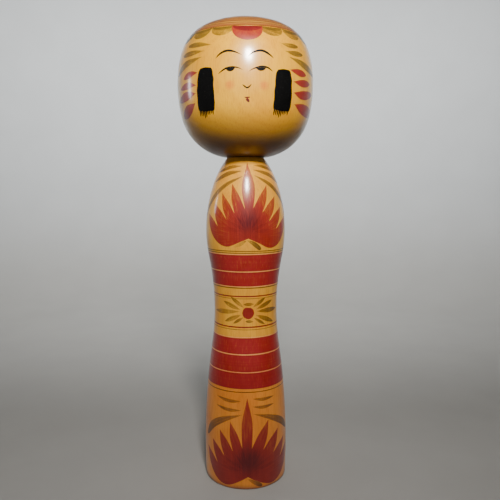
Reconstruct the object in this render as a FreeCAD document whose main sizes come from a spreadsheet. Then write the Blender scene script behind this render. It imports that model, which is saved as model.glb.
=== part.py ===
"""Kokeshi doll: a turned body with a neck tenon, and a separate turned head that turns on it."""

import FreeCAD, Part
import math
import os

import Sketcher
from FreeCAD import Vector

# Driving dimensions: millimetres, and degrees for the sweeps of the head's arcs.
SIZES = {
    "total_height": 301.7,
    # body outline, from the neck seat down to the foot
    "neck_height": 215.0,
    "neck_radius": 12.0,
    "shoulder_arc": 56.0,
    "chest_height": 168.2,
    "chest_radius": 26.1,
    "chest_arc": 90.5,
    "upper_waist_arc": 176.0,
    "waist_radius": 20.9,
    "lower_waist_arc": 174.0,
    "hip_radius": 27.7,
    "hip_arc": 480.0,
    "foot_rounding": 1.2,
    "foot_recess_radius": 21.0,
    "foot_recess_depth": 0.8,
    # neck joint
    "tenon_radius": 7.5,
    "tenon_length": 22.0,
    "tenon_chamfer": 1.0,
    "bore_clearance": 0.05,
    "bore_spare_depth": 2.0,
    "bore_chamfer": 0.6,
    "seat_gap": 0.2,
    # head outline, from the crown down to the seat
    "crown_arc": 66.7,
    "crown_sweep": 22.9,
    "temple_arc": 26.2,
    "temple_sweep": 48.8,
    "upper_side_arc": 54.4,
    "upper_side_sweep": 13.2,
    "lower_side_arc": 88.8,
    "lower_side_sweep": 16.0,
    "jaw_arc": 49.7,
    "jaw_sweep": 5.2,
    "underside_arc": 33.6,
}
HEAD_ARCS = ("crown", "temple", "upper_side", "lower_side", "jaw", "underside")
START, END, CENTRE = 1, 2, 3  # which point of a sketch element a constraint holds
ORIGIN = (-1, 1)  # the sketch's own origin point
NEAR = 0.01  # mm, how closely an edge has to match the place it is looked for

doc = FreeCAD.newDocument("kokeshi_doll")


def make_sheet():
    """The spreadsheet of driving dimensions, one alias a row."""
    sheet = doc.addObject("Spreadsheet::Sheet", "Sizes")
    for row, (name, value) in enumerate(SIZES.items(), start=1):
        sheet.set(f"A{row}", name)
        sheet.set(f"B{row}", str(value))
        sheet.setAlias(f"B{row}", name)
    doc.recompute()
    return sheet


sizes = make_sheet()


def size(name):
    return float(getattr(sizes, name))


def origin_feature(body, role):
    return next(f for f in body.Origin.OriginFeatures if f.Role == role)


def new_sketch(body, name, plane="XZ_Plane"):
    sketch = body.newObject("Sketcher::SketchObject", name)
    sketch.AttachmentSupport = [(origin_feature(body, plane), "")]
    sketch.MapMode = "FlatFace"
    return sketch


def bind(sketch, kind, *where, name, formula, value):
    """Add a constraint whose value the sheet gives."""
    index = sketch.addConstraint(Sketcher.Constraint(kind, *where, value))
    sketch.renameConstraint(index, name)
    sketch.setExpression(f"Constraints.{name}", formula)


def tie(sketch, kind, *where):
    sketch.addConstraint(Sketcher.Constraint(kind, *where))


def line(sketch, start, end):
    return sketch.addGeometry(Part.LineSegment(Vector(*start, 0), Vector(*end, 0)), False)


def arc(sketch, centre, radius, first, last):
    """Add an arc that runs anticlockwise from angle first to angle last, in radians."""
    circle = Part.Circle(Vector(*centre, 0), Vector(0, 0, 1), radius)
    return sketch.addGeometry(Part.ArcOfCircle(circle, first, last), False)


def on_circle(centre, radius, angle):
    return (centre[0] + radius * math.cos(angle), centre[1] + radius * math.sin(angle))


def angle_from(centre, point):
    return math.atan2(point[1] - centre[1], point[0] - centre[0])


def revolve(body, sketch, kind="PartDesign::Revolution"):
    turned = body.newObject(kind, sketch.Name + "_turned")
    turned.Profile = sketch
    turned.ReferenceAxis = (sketch, ["V_Axis"])
    turned.Angle = 360
    sketch.Visibility = False
    doc.recompute()
    return turned


def ring_edge(feature, radius, height):
    """Name of the feature's circular edge of that radius, at that height in the body's own frame."""
    for number, edge in enumerate(feature.Shape.Edges, start=1):
        if edge.Degenerated or not isinstance(edge.Curve, Part.Circle):
            continue
        ring = edge.Curve
        if abs(ring.Radius - radius) < NEAR and abs(ring.Center.z - height) < NEAR:
            return f"Edge{number}"
    raise RuntimeError(f"no ring edge of radius {radius} at height {height} on {feature.Name}")


def dress_edge(body, kind, base, edge, formula):
    """Round or bevel one edge by a size of the sheet."""
    dressed = body.newObject(f"PartDesign::{kind}", f"{base.Name}_{kind.lower()}")
    dressed.Base = (base, [edge])
    dressed.setExpression("Radius" if kind == "Fillet" else "Size", formula)
    doc.recompute()
    return dressed


def body_outline(body):
    """Half outline: foot, hip, waist, chest, shoulder, neck seat and tenon, turned about the axis."""
    neck, neck_r = size("neck_height"), size("neck_radius")
    tenon_r, tenon_top = size("tenon_radius"), neck + size("tenon_length")
    chest_arc, shoulder_arc = size("chest_arc"), size("shoulder_arc")
    upper_arc, lower_arc, hip_arc = size("upper_waist_arc"), size("lower_waist_arc"), size("hip_arc")
    waist_r, hip_r = size("waist_radius"), size("hip_radius")

    # centres of the tangent arcs
    chest = (size("chest_radius") - chest_arc, size("chest_height"))
    drop = math.sqrt((chest_arc + upper_arc) ** 2 - (waist_r + upper_arc - chest[0]) ** 2)
    waist = chest[1] - drop
    upper, lower = (waist_r + upper_arc, waist), (waist_r + lower_arc, waist)
    hip_x = hip_r - hip_arc
    hip = (hip_x, waist - math.sqrt((lower_arc + hip_arc) ** 2 - (lower[0] - hip_x) ** 2))
    # the shoulder's centre is chest_arc - shoulder_arc from the chest's, and shoulder_arc from the neck
    reach, near, far = math.dist(chest, (neck_r, neck)), chest_arc - shoulder_arc, shoulder_arc
    spread = math.acos((reach**2 + near**2 - far**2) / (2 * reach * near))
    turn = angle_from(chest, (neck_r, neck)) - spread
    shoulder = on_circle(chest, near, turn)

    sketch = new_sketch(body, "body_outline")
    foot_at = on_circle(hip, hip_arc, -math.asin(hip[1] / hip_arc))
    axis = line(sketch, (0, 0), (0, tenon_top))
    top = line(sketch, (0, tenon_top), (tenon_r, tenon_top))
    side = line(sketch, (tenon_r, tenon_top), (tenon_r, neck))
    seat = line(sketch, (tenon_r, neck), (neck_r, neck))
    arcs = {
        "shoulder": arc(sketch, shoulder, shoulder_arc, turn, angle_from(shoulder, (neck_r, neck))),
        "chest": arc(sketch, chest, chest_arc, angle_from(chest, upper), turn),
        "upper_waist": arc(sketch, upper, upper_arc, angle_from(upper, chest) % math.tau, math.pi),
        "lower_waist": arc(sketch, lower, lower_arc, math.pi, angle_from(lower, hip) % math.tau),
        "hip": arc(sketch, hip, hip_arc, angle_from(hip, foot_at), angle_from(hip, lower)),
    }
    foot = line(sketch, foot_at, (0, 0))

    tie(sketch, "Coincident", axis, START, *ORIGIN)
    tie(sketch, "PointOnObject", axis, END, -2)
    tie(sketch, "Coincident", axis, END, top, START)
    tie(sketch, "Coincident", top, END, side, START)
    tie(sketch, "Coincident", side, END, seat, START)
    tie(sketch, "Horizontal", top)
    tie(sketch, "Vertical", side)
    tie(sketch, "Horizontal", seat)
    tie(sketch, "Coincident", seat, END, arcs["shoulder"], END)
    tie(sketch, "Tangent", arcs["shoulder"], START, arcs["chest"], END)
    tie(sketch, "Tangent", arcs["chest"], START, arcs["upper_waist"], START)
    tie(sketch, "Tangent", arcs["upper_waist"], END, arcs["lower_waist"], START)
    tie(sketch, "Tangent", arcs["lower_waist"], END, arcs["hip"], END)
    tie(sketch, "Coincident", arcs["hip"], START, foot, START)
    tie(sketch, "Coincident", foot, END, *ORIGIN)
    tie(sketch, "Horizontal", foot)
    tie(sketch, "Horizontal", arcs["upper_waist"], CENTRE, arcs["lower_waist"], CENTRE)

    for name, index in arcs.items():
        bind(sketch, "Radius", index, name=f"{name}_arc", formula=f"Sizes.{name}_arc",
             value=size(f"{name}_arc"))
    bind(sketch, "DistanceX", side, END, seat, END, name="seat_width",
         formula="Sizes.neck_radius - Sizes.tenon_radius", value=neck_r - tenon_r)
    bind(sketch, "DistanceX", top, START, top, END, name="tenon_radius",
         formula="Sizes.tenon_radius", value=tenon_r)
    bind(sketch, "DistanceY", side, END, side, START, name="tenon_length",
         formula="Sizes.tenon_length", value=size("tenon_length"))
    bind(sketch, "DistanceY", *ORIGIN, side, END, name="neck_height",
         formula="Sizes.neck_height", value=neck)
    bind(sketch, "DistanceY", *ORIGIN, arcs["chest"], CENTRE, name="chest_height",
         formula="Sizes.chest_height", value=chest[1])
    bind(sketch, "DistanceX", arcs["chest"], CENTRE, *ORIGIN, name="chest_centre",
         formula="Sizes.chest_arc - Sizes.chest_radius", value=-chest[0])
    bind(sketch, "DistanceX", *ORIGIN, arcs["upper_waist"], CENTRE, name="waist_centre",
         formula="Sizes.upper_waist_arc + Sizes.waist_radius", value=upper[0])
    bind(sketch, "DistanceX", arcs["hip"], CENTRE, *ORIGIN, name="hip_centre",
         formula="Sizes.hip_arc - Sizes.hip_radius", value=-hip[0])
    return sketch


def foot_recess_outline(body):
    """Shallow hollow under the foot, so that the doll stands on a ring and doesn't rock."""
    radius, depth = size("foot_recess_radius"), size("foot_recess_depth")
    dome = (radius**2 + depth**2) / (2 * depth)
    centre, edge = (0, depth - dome), (radius, 0)
    sketch = new_sketch(body, "foot_recess")
    axis = line(sketch, (0, 0), (0, depth))
    roof = arc(sketch, centre, dome, angle_from(centre, edge), math.pi / 2)
    floor = line(sketch, edge, (0, 0))
    tie(sketch, "Coincident", axis, START, *ORIGIN)
    tie(sketch, "PointOnObject", axis, END, -2)
    tie(sketch, "Coincident", axis, END, roof, END)
    tie(sketch, "PointOnObject", roof, CENTRE, -2)
    tie(sketch, "Coincident", roof, START, floor, START)
    tie(sketch, "Coincident", floor, END, *ORIGIN)
    tie(sketch, "Horizontal", floor)
    bind(sketch, "DistanceX", floor, END, floor, START, name="recess_radius",
         formula="Sizes.foot_recess_radius", value=radius)
    bind(sketch, "DistanceY", axis, START, axis, END, name="recess_depth",
         formula="Sizes.foot_recess_depth", value=depth)
    return sketch


def make_body():
    """The turned body with its neck tenon, in one piece of wood."""
    body = doc.addObject("PartDesign::Body", "body")
    body.Label = "body"
    turned = revolve(body, body_outline(body))
    tenon_top = size("neck_height") + size("tenon_length")
    bevelled = dress_edge(body, "Chamfer", turned, ring_edge(turned, size("tenon_radius"), tenon_top),
                          "Sizes.tenon_chamfer")
    foot = max(e.Curve.Radius for e in bevelled.Shape.Edges
               if isinstance(e.Curve, Part.Circle) and abs(e.Curve.Center.z) < NEAR)
    rounded = dress_edge(body, "Fillet", bevelled, ring_edge(bevelled, foot, 0), "Sizes.foot_rounding")
    recessed = revolve(body, foot_recess_outline(body), "PartDesign::Groove")
    if not recessed.Shape.Volume < rounded.Shape.Volume - 1:
        raise RuntimeError("the foot's hollow cut nothing")
    return body


def head_outline(body):
    """Half outline in the head's own frame: a chain of tangent arcs from the crown to the seat at 0."""
    height = size("total_height") - size("neck_height") - size("seat_gap")
    sketch = new_sketch(body, "head_outline")
    axis = line(sketch, (0, 0), (0, height))
    point, heading, arcs = (0.0, height), math.pi / 2, []
    for name in HEAD_ARCS:
        radius = size(f"{name}_arc")
        centre = (point[0] - radius * math.cos(heading), point[1] - radius * math.sin(heading))
        if name == HEAD_ARCS[-1]:
            last = -math.asin(centre[1] / radius)
        else:
            last = heading - math.radians(size(f"{name}_sweep"))
        arcs.append(arc(sketch, centre, radius, last, heading))
        point, heading = on_circle(centre, radius, last), last
    seat = line(sketch, point, (0, 0))

    tie(sketch, "Coincident", axis, START, *ORIGIN)
    tie(sketch, "PointOnObject", axis, END, -2)
    tie(sketch, "Coincident", axis, END, arcs[0], END)
    tie(sketch, "PointOnObject", arcs[0], CENTRE, -2)
    for above, below in zip(arcs, arcs[1:]):
        tie(sketch, "Tangent", above, START, below, END)
    tie(sketch, "Coincident", arcs[-1], START, seat, START)
    tie(sketch, "Coincident", seat, END, *ORIGIN)
    tie(sketch, "Horizontal", seat)
    for name, index in zip(HEAD_ARCS, arcs):
        bind(sketch, "Radius", index, name=f"{name}_arc", formula=f"Sizes.{name}_arc",
             value=size(f"{name}_arc"))
    for name, index in zip(HEAD_ARCS[:-1], arcs):
        bind(sketch, "Angle", index, name=f"{name}_sweep", formula=f"Sizes.{name}_sweep * 1 deg",
             value=math.radians(size(f"{name}_sweep")))
    bind(sketch, "DistanceY", axis, START, axis, END, name="head_height",
         formula="Sizes.total_height - Sizes.neck_height - Sizes.seat_gap", value=height)
    return sketch


def make_head():
    """The turned head, bored from below to drop over the tenon and turn on it."""
    body = doc.addObject("PartDesign::Body", "head")
    body.Label = "head"
    turned = revolve(body, head_outline(body))
    bore_r = size("tenon_radius") + size("bore_clearance")
    circle = new_sketch(body, "bore_circle", "XY_Plane")
    ring = circle.addGeometry(Part.Circle(Vector(0, 0, 0), Vector(0, 0, 1), bore_r), False)
    tie(circle, "Coincident", ring, CENTRE, *ORIGIN)
    bind(circle, "Radius", ring, name="bore_radius",
         formula="Sizes.tenon_radius + Sizes.bore_clearance", value=bore_r)
    bore = body.newObject("PartDesign::Pocket", "bore")
    bore.Profile = circle
    bore.Reversed = True
    bore.setExpression("Length", "Sizes.tenon_length + Sizes.bore_spare_depth")
    circle.Visibility = False
    doc.recompute()
    if not bore.Shape.Volume < turned.Shape.Volume - 1:
        raise RuntimeError("the bore cut nothing")
    dress_edge(body, "Chamfer", bore, ring_edge(bore, bore_r, 0), "Sizes.bore_chamfer")
    body.setExpression("Placement.Base.z", "Sizes.neck_height + Sizes.seat_gap")
    return body


def write_parts(bodies):
    """Check the document, then write each sub-part to its own file."""
    doc.recompute()
    for thing in doc.Objects:
        if {"Invalid", "Error"} & set(thing.State):
            raise RuntimeError(f"{thing.Name} failed: {thing.State}")
    os.makedirs("parts", exist_ok=True)
    for body in bodies:
        shape = body.Shape
        if shape.isNull() or not shape.isValid() or len(shape.Solids) != 1:
            raise RuntimeError(f"{body.Label} isn't one valid solid")
        box = shape.optimalBoundingBox()
        print(f"{body.Label}: {shape.Volume / 1000:.1f} cm3, radius {box.XMax:.2f}, "
              f"z {box.ZMin:.2f} to {box.ZMax:.2f}")
        shape.exportStep(f"parts/{body.Label}.step")


write_parts([make_body(), make_head()])
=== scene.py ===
"""Looks of a turned wooden kokeshi doll: waxed wood, brushed dyes and ink, and a plain studio."""

import logging
import math
from dataclasses import dataclass, field
from enum import Enum
from typing import Any, Callable, Iterable, Optional, Sequence, Union

import bpy
import numpy as np
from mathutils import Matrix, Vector, geometry, noise


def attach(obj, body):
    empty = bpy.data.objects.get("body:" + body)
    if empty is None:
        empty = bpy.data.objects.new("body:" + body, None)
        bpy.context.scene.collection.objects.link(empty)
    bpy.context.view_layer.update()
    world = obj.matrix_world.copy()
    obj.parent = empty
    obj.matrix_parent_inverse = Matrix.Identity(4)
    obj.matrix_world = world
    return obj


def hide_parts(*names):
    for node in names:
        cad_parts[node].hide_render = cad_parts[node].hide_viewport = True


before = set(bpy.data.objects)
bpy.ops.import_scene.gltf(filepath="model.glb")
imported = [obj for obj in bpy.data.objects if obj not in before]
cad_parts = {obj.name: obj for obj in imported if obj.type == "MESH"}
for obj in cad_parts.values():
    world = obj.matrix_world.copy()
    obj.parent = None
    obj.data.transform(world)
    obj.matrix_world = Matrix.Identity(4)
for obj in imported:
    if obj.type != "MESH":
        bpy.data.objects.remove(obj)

LOG = logging.getLogger("kokeshi")
MM = 0.001  # metres in a millimetre

Point = tuple[float, float]  # turn about the axis in degrees, and place along the outline in mm
Colour = tuple[float, float, float]
Socket = bpy.types.NodeSocket
Material = bpy.types.Material
Piece = bpy.types.Object


class Part(Enum):
    """The doll's two turned parts, each a CAD node and a moving body of the same name."""

    BODY = "body"
    HEAD = "head"

    @property
    def slot(self) -> str:
        """A slot name made from the part's name."""
        return f"{self.value}_wood"


# ---- shader writing


class Signal:
    """A number that changes over a surface, on which Python arithmetic can be written."""

    def __init__(self, shader: "Shader", socket: Socket) -> None:
        """Wrap a float socket of that shader."""
        self.shader = shader
        self.socket = socket

    def _math(self, operation: str, first: Any, second: Any = None) -> "Signal":
        """Add one Math node and wrap its result.

        Args:
            operation: the Math node's operation.
            first: its first input, a Signal or a number.
            second: its second input, or None where it has one.

        Returns:
            The node's result.
        """
        inputs = {0: first} if second is None else {0: first, 1: second}
        made = self.shader.node("ShaderNodeMath", {"operation": operation}, inputs)
        return Signal(self.shader, made.outputs[0])

    def __add__(self, other: Any) -> "Signal":
        """Sum."""
        return self._math("ADD", self, other)

    __radd__ = __add__

    def __sub__(self, other: Any) -> "Signal":
        """Difference."""
        return self._math("SUBTRACT", self, other)

    def __rsub__(self, other: Any) -> "Signal":
        """Difference, the other way round."""
        return self._math("SUBTRACT", other, self)

    def __mul__(self, other: Any) -> "Signal":
        """Product."""
        return self._math("MULTIPLY", self, other)

    __rmul__ = __mul__

    def sine(self) -> "Signal":
        """Sine of the signal, in radians."""
        return self._math("SINE", self)

    def ramp(self, low: float, high: float, start: float = 0.0, end: float = 1.0) -> "Signal":
        """Ease from start to end as the signal goes from low to high.

        Args:
            low: signal at which the result is start.
            high: signal at which the result is end; it may be below low.
            start: result at low.
            end: result at high.

        Returns:
            The eased signal, held at its ends.
        """
        settings = {"interpolation_type": "SMOOTHSTEP"}
        if high < low:
            low, high, start, end = high, low, end, start
        inputs = {"Value": self, "From Min": low, "From Max": high, "To Min": start, "To Max": end}
        made = self.shader.node("ShaderNodeMapRange", settings, inputs)
        return Signal(self.shader, made.outputs["Result"])


class Shader:
    """One material's node tree, written from the shader outwards."""

    def __init__(self, name: str) -> None:
        """Make an empty material with that name.

        Args:
            name: name of the new material.
        """
        self.material = bpy.data.materials.new(name)
        self.material.use_nodes = True
        self.tree = self.material.node_tree
        self.tree.nodes.clear()

    def node(
        self, kind: str, settings: Optional[dict[str, Any]] = None, inputs: Optional[dict] = None
    ) -> bpy.types.Node:
        """Add any node.

        Args:
            kind: the node's type.
            settings: its properties, set before its sockets.
            inputs: socket name or number, to a value, a socket or a Signal.

        Returns:
            The new node.
        """
        made = self.tree.nodes.new(kind)
        for name, value in (settings or {}).items():
            setattr(made, name, value)
        for key, value in (inputs or {}).items():
            socket = made.inputs[key]
            if isinstance(value, Signal):
                value = value.socket
            if isinstance(value, Socket):
                self.tree.links.new(value, socket)
            else:
                socket.default_value = value
        return made

    def vector(self, operation: str, *vectors: Any) -> bpy.types.Node:
        """Add one Vector Math node on those vectors."""
        inputs = dict(enumerate(vectors))
        return self.node("ShaderNodeVectorMath", {"operation": operation}, inputs)

    def place(self, scale: Sequence[float] = (1.0, 1.0, 1.0)) -> Socket:
        """Place on the turned block in millimetres, stretched by a factor along each axis."""
        coordinates = self.node("ShaderNodeTexCoord").outputs["Object"]
        return self.vector("MULTIPLY", coordinates, tuple(k / MM for k in scale)).outputs[0]

    def brushed(self, scale: Sequence[float]) -> Socket:
        """Place in the brush mark, along and across it, stretched by a factor each way."""
        marks = self.node("ShaderNodeUVMap", {"uv_map": "brush"}).outputs[0]
        return self.vector("MULTIPLY", marks, (scale[0], scale[1], 0.0)).outputs[0]

    def noise(
        self, place: Socket, scale: float = 1.0, detail: float = 2.0, rough: float = 0.5
    ) -> Signal:
        """Smooth noise around one half at that place."""
        inputs = {"Vector": place, "Scale": scale, "Detail": detail, "Roughness": rough}
        return Signal(self, self.node("ShaderNodeTexNoise", None, inputs).outputs[0])

    def attribute(self, name: str) -> Signal:
        """A number stored on the mesh."""
        made = self.node("ShaderNodeAttribute", {"attribute_name": name})
        return Signal(self, made.outputs["Fac"])

    def part(self, vector: Socket, axis: str) -> Signal:
        """One of a vector's three numbers."""
        return Signal(self, self.node("ShaderNodeSeparateXYZ", None, {0: vector}).outputs[axis])

    def mix(self, share: Any, first: Any, second: Any, mode: str = "MIX") -> Socket:
        """Mix two colours, each a socket or three numbers, by a share of the second.

        Args:
            share: how much of the second colour there is, a Signal or a number.
            first: the first colour.
            second: the second colour.
            mode: the Mix node's blending.

        Returns:
            The mixed colour.
        """
        settings = {"data_type": "RGBA", "blend_type": mode, "clamp_factor": True}
        pair = [c if isinstance(c, Socket) else (*c, 1.0) for c in (first, second)]
        made = self.node("ShaderNodeMix", settings, {0: share, 6: pair[0], 7: pair[1]})
        return made.outputs[2]

    def finish(
        self, colour: Any, rough: Any, height: Optional[Signal], depth: float,
        fixed: dict[str, Any],
    ) -> Material:
        """Close the tree with a Principled shader.

        Args:
            colour: base colour, a socket or three numbers.
            rough: roughness, a Signal or a number.
            height: relief, or None for a smooth surface.
            depth: what the relief's full range is, in millimetres.
            fixed: other sockets of the shader, by name.

        Returns:
            The finished material.
        """
        inputs: dict[str, Any] = {"Base Color": colour, "Roughness": rough, **fixed}
        if not isinstance(colour, Socket):
            inputs["Base Color"] = (*colour, 1.0)
        if height is not None:
            relief = {"Strength": 1.0, "Distance": depth * MM, "Height": height}
            inputs["Normal"] = self.node("ShaderNodeBump", None, relief).outputs["Normal"]
        closed = self.node("ShaderNodeBsdfPrincipled", None, inputs)
        self.node("ShaderNodeOutputMaterial", None, {"Surface": closed.outputs["BSDF"]})
        return self.material


# ---- finishes


@dataclass(frozen=True)
class Wood:
    """Close-grained pale wood that age and wax have turned amber."""

    pale: Colour = (0.88, 0.43, 0.034)
    amber: Colour = (0.79, 0.34, 0.022)
    deep: Colour = (0.87, 0.61, 0.75)
    deep_from: float = 0.0
    deep_to: float = 0.0
    grain: Colour = (0.74, 0.60, 0.42)
    pith: Point = (9.0, 6.0)
    ring_spacing: float = 2.9
    # mm, heights over which painted shade darkens the wood: under the head, and at the foot of the
    # body
    shade_from: float = 0.0
    shade_to: float = 0.0

    def colour(self, shader: Shader) -> Socket:
        """The bare wood's colour: mottling, growth rings, fibres, pores, and painted shade at its
        lower end.

        Args:
            shader: the material that is being written.

        Returns:
            The wood's colour.
        """
        mottle = shader.noise(shader.place((0.05, 0.05, 0.028)), detail=3.0)
        base = shader.mix(mottle.ramp(0.32, 0.68), self.pale, self.amber)
        rings = self._rings(shader, mottle)
        base = shader.mix(rings * 0.16, base, self.grain, "MULTIPLY")
        fibre = shader.noise(shader.place((1.5, 1.5, 0.045)), detail=3.0, rough=0.6)
        base = shader.mix(fibre.ramp(0.46, 0.72) * 0.5, base, self.grain, "MULTIPLY")
        pores = shader.noise(shader.place((4.6, 4.6, 0.42)), detail=1.0)
        base = shader.mix(pores.ramp(0.66, 0.74) * 0.4, base, (0.62, 0.42, 0.25), "MULTIPLY")
        height = shader.part(shader.place(), "Z") + (mottle - 0.5) * 6.0
        # The wood darker and more orange from the height deep_from down to deep_to.
        if self.deep_to != self.deep_from:
            lower_tone = height.ramp(self.deep_from, self.deep_to)
            base = shader.mix(lower_tone, base, self.deep, "MULTIPLY")
        # Painted shade: darker below shade_from, and darker still near shade_to, by the head's
        # seat on the neck and by the foot
        if self.shade_to != self.shade_from:
            painted_shade = height.ramp(self.shade_from, self.shade_to)
            base = shader.mix(painted_shade * 0.85, base, (0.22, 0.22, 2.2), "MULTIPLY")
            joint_shade = height.ramp(self.shade_to + 8.0, self.shade_to - 4.0)
            base = shader.mix(joint_shade * 0.9, base, (0.26, 0.17, 1.0), "MULTIPLY")
        return base

    def _rings(self, shader: Shader, mottle: Signal) -> Signal:
        """Growth rings around a pith that lies off the lathe axis.

        Args:
            shader: the material that is being written.
            mottle: slow noise, which bends the rings.

        Returns:
            How dark the ring is, from 0 to 1.
        """
        grown = shader.place((1.0, 1.0, 0.03))
        offset = shader.vector("SUBTRACT", grown, (*self.pith, 0.0)).outputs[0]
        length = shader.vector("LENGTH", offset)
        radius = Signal(shader, length.outputs["Value"]) + mottle * 7.0
        return (radius * (math.tau / self.ring_spacing)).sine().ramp(0.1, 1.0)


@dataclass(frozen=True)
class Wax:
    """The gloss over wood and dye: burnished on the lathe, then waxed and handled."""

    rough: float = 0.42
    coat: float = 0.55
    coat_rough: float = 0.14
    relief: float = 0.012
    specular: float = 0.22
    coat_ior: float = 1.52
    thin_from: float = 0.0  # mm, height below which the wax thins out
    thin_to: float = 0.0

    def close(self, shader: Shader, colour: Any) -> Material:
        """Finish a shader with this gloss, its smears, and the lathe's faint turning marks.

        Args:
            shader: the material that is being written.
            colour: what the gloss lies on, a socket or three numbers.

        Returns:
            The finished material.
        """
        smear = shader.noise(shader.place((0.09, 0.09, 0.16)), detail=4.0, rough=0.6)
        rough = smear.ramp(0.25, 0.8, self.rough - 0.07, self.rough + 0.1)
        turned = shader.noise(shader.place((0.02, 0.02, 2.1)), detail=2.0)
        fibre = shader.noise(shader.place((2.2, 2.2, 0.09)), detail=2.0)
        coat: Any = self.coat
        if self.thin_to != self.thin_from:
            height = shader.part(shader.place(), "Z")
            coat = height.ramp(self.thin_from, self.thin_to, self.coat, self.coat * 0.2)
        fixed = {"Coat Weight": coat, "Coat Roughness": self.coat_rough, "Coat IOR": self.coat_ior,
                 "Specular IOR Level": self.specular}
        return shader.finish(colour, rough, turned * 0.55 + fibre * 0.45, self.relief, fixed)


@dataclass(frozen=True)
class Dye:
    """A thin translucent dye, brushed on the bare wood before the wax."""

    name: str
    layer: Colour  # what one layer lets through
    second: Colour  # what a second layer lets through on top of that
    streaks: float = 0.35  # how unevenly the brush leaves it
    streak_scale: Point = (0.10, 1.6)  # noise cycles per mm along and across the mark
    fibres: float = 0.25  # how much the wood's fibres show in it

    def coat(self, wood: Wood, wax: Wax, prefix: str) -> Material:
        """The dye over that wood, under that wax.

        Args:
            wood: the bare wood below.
            wax: the gloss on top.
            prefix: the part's name, which goes before the finish's own.

        Returns:
            The finished material.
        """
        shader = Shader(f"{prefix}_{self.name}")
        streak = shader.noise(shader.brushed(self.streak_scale), detail=3.0, rough=0.55)
        fibre = shader.noise(shader.place((1.5, 1.5, 0.03)), detail=4.0, rough=0.6)
        even = 1.0 - streak.ramp(0.35, 0.7) * self.streaks - fibre.ramp(0.48, 0.7) * self.fibres
        laid = shader.attribute("load") * even
        once = shader.mix(laid.ramp(0.0, 1.0), wood.colour(shader), self.layer, "MULTIPLY")
        return wax.close(shader, shader.mix(laid.ramp(0.8, 2.0), once, self.second, "MULTIPLY"))


@dataclass(frozen=True)
class Ink:
    """Thick black ink that hides the wood, dull where the brush left it dry."""

    name: str = "black_ink"
    colour: Colour = (0.0012, 0.0011, 0.0011)
    worn: Colour = (0.022, 0.021, 0.019)

    def coat(self, wood: Wood, wax: Wax, prefix: str) -> Material:
        """The ink over that wood, under that wax.

        Args:
            wood: the bare wood below.
            wax: the gloss on top.
            prefix: the part's name, which goes before the finish's own.

        Returns:
            The finished material.
        """
        shader = Shader(f"{prefix}_{self.name}")
        load = shader.attribute("load")
        hairs = shader.noise(shader.brushed((0.55, 2.6)), detail=3.0, rough=0.65)
        speck = shader.noise(shader.place((1.4, 1.4, 1.0)), detail=3.0, rough=0.7)
        dry = shader.mix(speck.ramp(0.56, 0.74) * 0.6, self.colour, self.worn)
        covered = (load * (1.0 - hairs.ramp(0.6, 0.8) * 0.12)).ramp(0.0, 0.75)
        seen = shader.mix(covered, wood.colour(shader), dry)
        return Wax(0.6, 0.05, 0.3, wax.relief, specular=0.1).close(shader, seen)


@dataclass(frozen=True)
class CapDye:
    """The cap's dye: rings of different strength, laid with the doll spinning on the lathe."""

    name: str = "cap_dye"
    salmon: Colour = (0.50, 0.42, 7.0)
    rosy: Colour = (0.38, 0.23, 5.5)
    maroon: Colour = (0.26, 0.08, 0.22)

    def coat(self, wood: Wood, wax: Wax, prefix: str) -> Material:
        """The ringed dye over that wood, under that wax.

        Args:
            wood: the bare wood below.
            wax: the gloss on top.
            prefix: the part's name, which goes before the finish's own.

        Returns:
            The finished material.
        """
        shader = Shader(f"{prefix}_{self.name}")
        wide = shader.noise(shader.brushed((0.004, 0.33)), detail=2.0)
        fine = shader.noise(shader.brushed((0.006, 1.5)), detail=2.0, rough=0.6)
        lines = shader.noise(shader.brushed((0.008, 0.8)), detail=1.0)
        tint = shader.mix(wide.ramp(0.44, 0.56), self.salmon, self.rosy)
        tint = shader.mix(lines.ramp(0.58, 0.66) * 0.75, tint, self.maroon)
        laid = shader.attribute("load") * (1.0 - fine.ramp(0.4, 0.75) * 0.3)
        return wax.close(shader, shader.mix(laid, wood.colour(shader), tint, "MULTIPLY"))


@dataclass(frozen=True)
class Backdrop:
    """Plain matt studio paper, laid as a floor and carried up as a wall."""

    name: str = "pale_paper"
    floor: Colour = (0.34, 0.33, 0.31)
    wall: Colour = (0.56, 0.57, 0.57)

    def coat(self) -> Material:
        """The paper's material, with a trace of fibre in its tone.

        Returns:
            The finished material.
        """
        shader = Shader(self.name)
        fibre = shader.noise(shader.place((0.02, 0.02, 0.02)), detail=4.0)
        height = shader.part(shader.place(), "Z")
        tone = shader.mix(height.ramp(0.0, 240.0), self.floor, self.wall)
        tone = shader.mix(fibre.ramp(0.3, 0.7), tone, (0.965, 0.965, 0.965), "MULTIPLY")
        return shader.finish(tone, 0.85, None, 0.0, {"Specular IOR Level": 0.2})


RED = Dye("red_dye", (0.39, 0.060, 0.42), (0.34, 0.10, 0.45), streaks=0.18, fibres=0.22)
CRIMSON = Dye("crimson_dye", (0.39, 0.052, 2.6), (0.34, 0.10, 0.60), streaks=0.18, fibres=0.14)
BAND_RED = Dye("band_dye", (0.43, 0.036, 0.50), (0.45, 0.3, 0.5), 0.08, (0.004, 1.2), fibres=0.17)
OLIVE = Dye("olive_dye", (0.28, 0.30, 0.45), (0.40, 0.42, 0.50), streaks=0.45, fibres=0.2)
BROWN = Dye("brown_olive_dye", (0.32, 0.33, 0.42), (0.34, 0.32, 0.45), streaks=0.4, fibres=0.2)
BARE = Dye("scraped_line", (1.15, 0.95, 5.00), (1.0, 1.0, 1.0), streaks=0.1, fibres=0.1)
DUSK = Dye("dusk_dye", (0.055, 0.08, 0.30), (0.5, 0.5, 0.5), streaks=0.3, fibres=0.1)
MAROON = Dye("maroon_dye", (0.18, 0.065, 0.9), (0.5, 0.5, 0.6), 0.3, (0.01, 1.6), fibres=0.1)
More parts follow.
